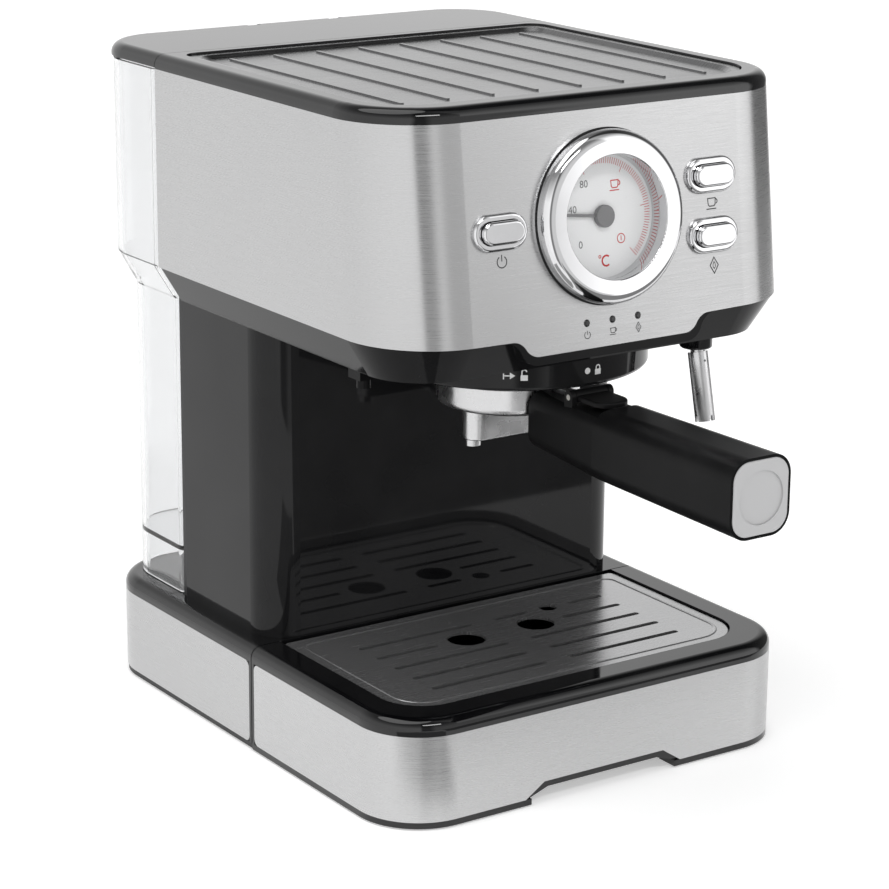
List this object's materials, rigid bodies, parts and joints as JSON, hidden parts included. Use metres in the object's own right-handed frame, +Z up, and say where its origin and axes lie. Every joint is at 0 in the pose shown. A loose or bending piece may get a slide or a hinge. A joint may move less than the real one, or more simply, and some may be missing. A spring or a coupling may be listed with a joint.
{
  "type": "espresso machine",
  "caption": "Pump espresso machine with a portafilter, side steam knob and wand, temperature gauge, drip tray drawer, cup-warming top and lift-off rear water tank.",
  "frame": {"origin": "middle of the base's footprint, on the surface that the feet stand on", "axes": "+Z up, front of the machine faces -Y, +X to the right as seen from the front"},
  "size_m": [0.2256, 0.3498, 0.2957],
  "materials": {
    "gloss_black": "glossy black moulded ABS",
    "satin_black": "satin black moulded plastic",
    "matte_black": "matte black moulded plastic",
    "brushed_steel": "stainless sheet brushed along its length",
    "plate_steel": "pressed stainless plate, fine brushed",
    "polished_steel": "polished stainless steel",
    "chrome": "bright chrome plating",
    "satin_silver": "satin silver",
    "cast_aluminium": "as-cast aluminium",
    "clear_tank": "clear moulded plastic",
    "clear_window": "clear plastic window",
    "dial_print": "white dial with printed scale",
    "needle_grey": "grey needle",
    "rubber_black": "black rubber",
    "silicone": "milky silicone",
    "coil_steel": "painted iron yoke",
    "board_green": "green circuit board",
    "light_lens": "smoked lens",
    "zinc_screw": "zinc-plated steel"
  },
  "bodies": {
    "machine": {"base_shell": "gloss_black", "base_band": "brushed_steel", "base_plate": "matte_black", "rubber_feet": "rubber_black", "base_screws": "zinc_screw", "cord_gland": "rubber_black", "column_shell": "gloss_black", "rear_cover": "matte_black", "head_skin": "brushed_steel", "head_shell": "gloss_black", "top_frame": "gloss_black", "cup_plate": "plate_steel", "group_collar": "gloss_black", "group_head": "cast_aluminium", "group_gasket": "rubber_black", "shower_screen": "polished_steel", "shower_screw": "zinc_screw", "boiler_body": "cast_aluminium", "boiler_top": "cast_aluminium", "boiler_screws": "zinc_screw", "thermostats": "satin_silver", "pump_body": "matte_black", "pump_coil": "coil_steel", "pump_mounts": "rubber_black", "suction_hose": "silicone", "pressure_hose": "silicone", "steam_valve": "cast_aluminium", "steam_pipes": "polished_steel", "wand_nut": "chrome", "gauge_bezel": "chrome", "gauge_housing": "matte_black", "gauge_dial": "dial_print", "gauge_glass": "clear_window", "button_bezels": "chrome", "button_switches": "matte_black", "indicator_lights": "light_lens", "control_board": "board_green", "tank_socket": "rubber_black"},
    "portafilter": {"portafilter_body": "polished_steel", "filter_basket": "polished_steel", "portafilter_spout": "polished_steel", "portafilter_handle": "satin_black", "handle_end_cap": "satin_silver", "clip_pin": "zinc_screw"},
    "clip": {"filter_clip": "satin_black"},
    "power_button": {"button_power": "satin_silver"},
    "brew_button": {"button_brew": "satin_silver"},
    "steam_button": {"button_steam": "satin_silver"},
    "needle": {"gauge_needle": "needle_grey"},
    "wand": {"steam_wand": "polished_steel"},
    "sleeve": {"froth_sleeve": "polished_steel"},
    "knob": {"steam_knob": "satin_black"},
    "tray": {"drip_tray": "gloss_black", "tray_band": "brushed_steel"},
    "grid": {"drip_grid": "plate_steel"},
    "tank": {"tank_body": "clear_tank", "tank_valve": "matte_black"},
    "lid": {"tank_lid": "gloss_black", "lid_pin": "zinc_screw"}
  },
  "joints": [
    {"name": "portafilter_turn", "type": "hinge", "parent": "machine", "child": "portafilter", "pos_m": [0, -0.0519, 0.17], "axis": [0, 0, 1], "range_deg": [-38, 0]},
    {"name": "clip_flip", "type": "hinge", "parent": "portafilter", "child": "clip", "pos_m": [0, -0.1099, 0.1695], "axis": [-1, 0, 0], "range_deg": [0, 55]},
    {"name": "power_press", "type": "slide", "parent": "machine", "child": "power_button", "axis": [0, 0.9928, -0.1201], "range_m": [0, 0.0015], "stiffness_N_per_m": 600, "springref_m": -0.0005},
    {"name": "brew_press", "type": "slide", "parent": "machine", "child": "brew_button", "axis": [0, 0.9928, -0.1201], "range_m": [0, 0.0015], "stiffness_N_per_m": 600, "springref_m": -0.0005},
    {"name": "steam_press", "type": "slide", "parent": "machine", "child": "steam_button", "axis": [0, 0.9928, -0.1201], "range_m": [0, 0.0015], "stiffness_N_per_m": 600, "springref_m": -0.0005},
    {"name": "needle_swing", "type": "hinge", "parent": "machine", "child": "needle", "pos_m": [0, -0.11947, 0.246], "axis": [0, -0.9928, 0.1201], "range_deg": [-220, 50], "stiffness_Nm_per_rad": 0.0005},
    {"name": "wand_swivel", "type": "hinge", "parent": "machine", "child": "wand", "pos_m": [0.06, -0.105, 0.185], "axis": [0, 0, 1], "range_deg": [-30, 75]},
    {"name": "sleeve_pull", "type": "slide", "parent": "wand", "child": "sleeve", "axis": [0, -0.225, -0.9744], "range_m": [0, 0.034]},
    {"name": "knob_turn", "type": "hinge", "parent": "machine", "child": "knob", "pos_m": [0.105, -0.04, 0.245], "axis": [1, 0, 0], "range_deg": [0, 270]},
    {"name": "tray_slide", "type": "slide", "parent": "machine", "child": "tray", "axis": [0, -1, 0], "range_m": [0, 0.11]},
    {"name": "grid_lift", "type": "slide", "parent": "tray", "child": "grid", "axis": [0, 0, 1], "range_m": [0, 0.06]},
    {"name": "tank_lift", "type": "slide", "parent": "machine", "child": "tank", "axis": [0, 0, 1], "range_m": [0, 0.08]},
    {"name": "lid_open", "type": "hinge", "parent": "tank", "child": "lid", "pos_m": [0, 0.1268, 0.2925], "axis": [-1, 0, 0], "range_deg": [0, 85]}
  ]
}
